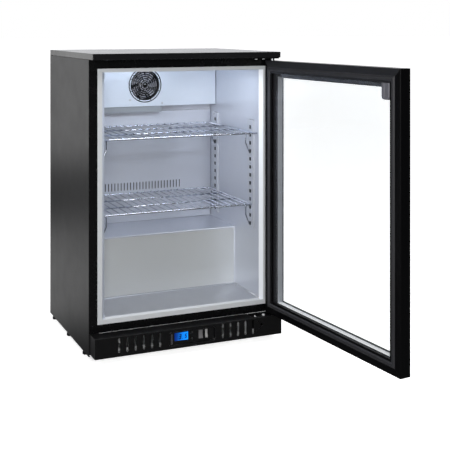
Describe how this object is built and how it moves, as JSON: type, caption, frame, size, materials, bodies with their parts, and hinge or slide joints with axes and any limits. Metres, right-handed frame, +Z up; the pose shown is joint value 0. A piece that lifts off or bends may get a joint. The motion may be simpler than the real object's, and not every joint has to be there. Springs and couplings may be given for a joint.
{
  "type": "undercounter refrigerator",
  "caption": "Free-standing black undercounter refrigerator with a framed glass door on right-hand hinges, wire shelves, a kick grille with a digital control and a rear machine compartment.",
  "frame": {"origin": "centre of the front left foot's contact face on the floor", "axes": "+X across the front towards the hinge side, +Y from the front to the back, +Z up"},
  "size_m": [0.6511, 1.0409, 0.876],
  "materials": {
    "black_paint": "satin black powder coat",
    "galvanised": "galvanised sheet",
    "foam": "rigid polyurethane foam",
    "liner_aluminium": "embossed aluminium sheet",
    "trim_plastic": "pale extruded PVC",
    "black_plastic": "moulded black plastic",
    "gloss_black": "polished black plastic",
    "grey_plastic": "moulded grey plastic",
    "rubber": "black rubber",
    "zinc_screw": "zinc plated steel",
    "display": "lit blue display window",
    "white_sheet": "pale coated aluminium",
    "coil_metal": "bare aluminium fins",
    "led": "lit opal diffuser",
    "chrome_wire": "bright plated wire",
    "steel": "plain steel",
    "black_enamel": "black enamel",
    "copper": "drawn copper tube",
    "door_profile": "black anodised extrusion",
    "seal": "flexible black seal",
    "clear_glass": "clear float glass",
    "spacer_metal": "perforated spacer bar",
    "zinc_cast": "cast zinc, satin"
  },
  "bodies": {
    "cabinet": {"side_panel_left": "black_paint", "side_panel_right": "black_paint", "top_panel": "black_paint", "back_panel": "galvanised", "base_pan": "black_paint", "compartment_partition": "galvanised", "front_frame": "black_paint", "insulation_foam": "foam", "inner_liner": "liner_aluminium", "breaker_trim": "trim_plastic", "feet": "rubber", "kick_grille": "black_paint", "panel_screws": "zinc_screw", "controller_bezel": "gloss_black", "controller_housing": "grey_plastic", "lcd_lens": "display", "evaporator_cover": "white_sheet", "drip_tray": "liner_aluminium", "fan_guard": "black_plastic", "evap_fan_frame": "black_plastic", "evaporator_coil": "coil_metal", "rear_duct_panel": "liner_aluminium", "led_light": "led", "temperature_probe": "steel", "shelf_pilasters": "liner_aluminium", "shelf_clips": "chrome_wire", "compressor": "black_enamel", "compressor_grommets": "rubber", "condenser_coil": "black_enamel", "fan_shroud": "galvanised", "condenser_motor": "steel", "refrigerant_lines": "copper", "rear_grille": "black_paint", "power_cord": "black_plastic", "hinge_bracket_upper": "steel", "hinge_bracket_lower": "steel", "hinge_screws": "zinc_screw", "hinge_pin_upper": "steel", "closer_spring": "zinc_screw", "strike_plate": "zinc_screw"},
    "door": {"door_stile_hinge": "door_profile", "door_stile_free": "door_profile", "door_rail_top": "door_profile", "door_rail_bottom": "door_profile", "door_corner_keys": "grey_plastic", "door_gasket": "seal", "glass_panes": "clear_glass", "glass_spacer": "spacer_metal", "hinge_pin_lower": "steel", "lock_case": "zinc_cast"},
    "lock_cylinder": {"lock_cylinder": "chrome_wire"},
    "lock_bolt": {"lock_bolt": "chrome_wire"},
    "button_up": {"button_up": "grey_plastic"},
    "button_down": {"button_down": "grey_plastic"},
    "power_switch": {"power_switch": "grey_plastic"},
    "light_switch": {"light_switch": "grey_plastic"},
    "evap_fan_rotor": {"evap_fan_rotor": "black_plastic"},
    "condenser_fan": {"condenser_fan": "steel"},
    "upper_shelf": {"upper_shelf": "chrome_wire"},
    "lower_shelf": {"lower_shelf": "chrome_wire"}
  },
  "joints": [
    {"name": "door_hinge", "type": "hinge", "parent": "cabinet", "child": "door", "pos_m": [0.57, -0.084, 0.081], "axis": [0, 0, 1], "range_deg": [-95.5, 14.5]},
    {"name": "lock_turn", "type": "hinge", "parent": "door", "child": "lock_cylinder", "pos_m": [0.63605, -0.60306, 0.834], "axis": [-0.9954, -0.0958, 0], "range_deg": [0, 90]},
    {"name": "bolt_slide", "type": "slide", "parent": "door", "child": "lock_bolt", "axis": [0, 0, 1], "range_m": [0, 0.012]},
    {"name": "button_up_press", "type": "slide", "parent": "cabinet", "child": "button_up", "axis": [0, 1, 0], "range_m": [0, 0.001], "stiffness_N_per_m": 200},
    {"name": "button_down_press", "type": "slide", "parent": "cabinet", "child": "button_down", "axis": [0, 1, 0], "range_m": [0, 0.001], "stiffness_N_per_m": 200},
    {"name": "power_rocker", "type": "hinge", "parent": "cabinet", "child": "power_switch", "pos_m": [0.3195, -0.1025, 0.0508], "axis": [1, 0, 0], "range_deg": [0, 16]},
    {"name": "light_rocker", "type": "hinge", "parent": "cabinet", "child": "light_switch", "pos_m": [0.338, -0.1025, 0.0508], "axis": [1, 0, 0], "range_deg": [0, 16]},
    {"name": "evap_fan_spin", "type": "hinge", "parent": "cabinet", "child": "evap_fan_rotor", "pos_m": [0.282, 0.265, 0.76], "axis": [0, 1, 0], "continuous": true},
    {"name": "condenser_fan_spin", "type": "hinge", "parent": "cabinet", "child": "condenser_fan", "pos_m": [0.155, 0.175, 0.14], "axis": [0, 1, 0], "continuous": true},
    {"name": "upper_shelf_slide", "type": "slide", "parent": "cabinet", "child": "upper_shelf", "axis": [0, -1, 0], "range_m": [0, 0.01]},
    {"name": "lower_shelf_slide", "type": "slide", "parent": "cabinet", "child": "lower_shelf", "axis": [0, -1, 0], "range_m": [0, 0.03]}
  ],
  "couplings": [
    {"joint": "lock_turn", "follows": "bolt_slide", "rad_per_m": 130.9}
  ]
}
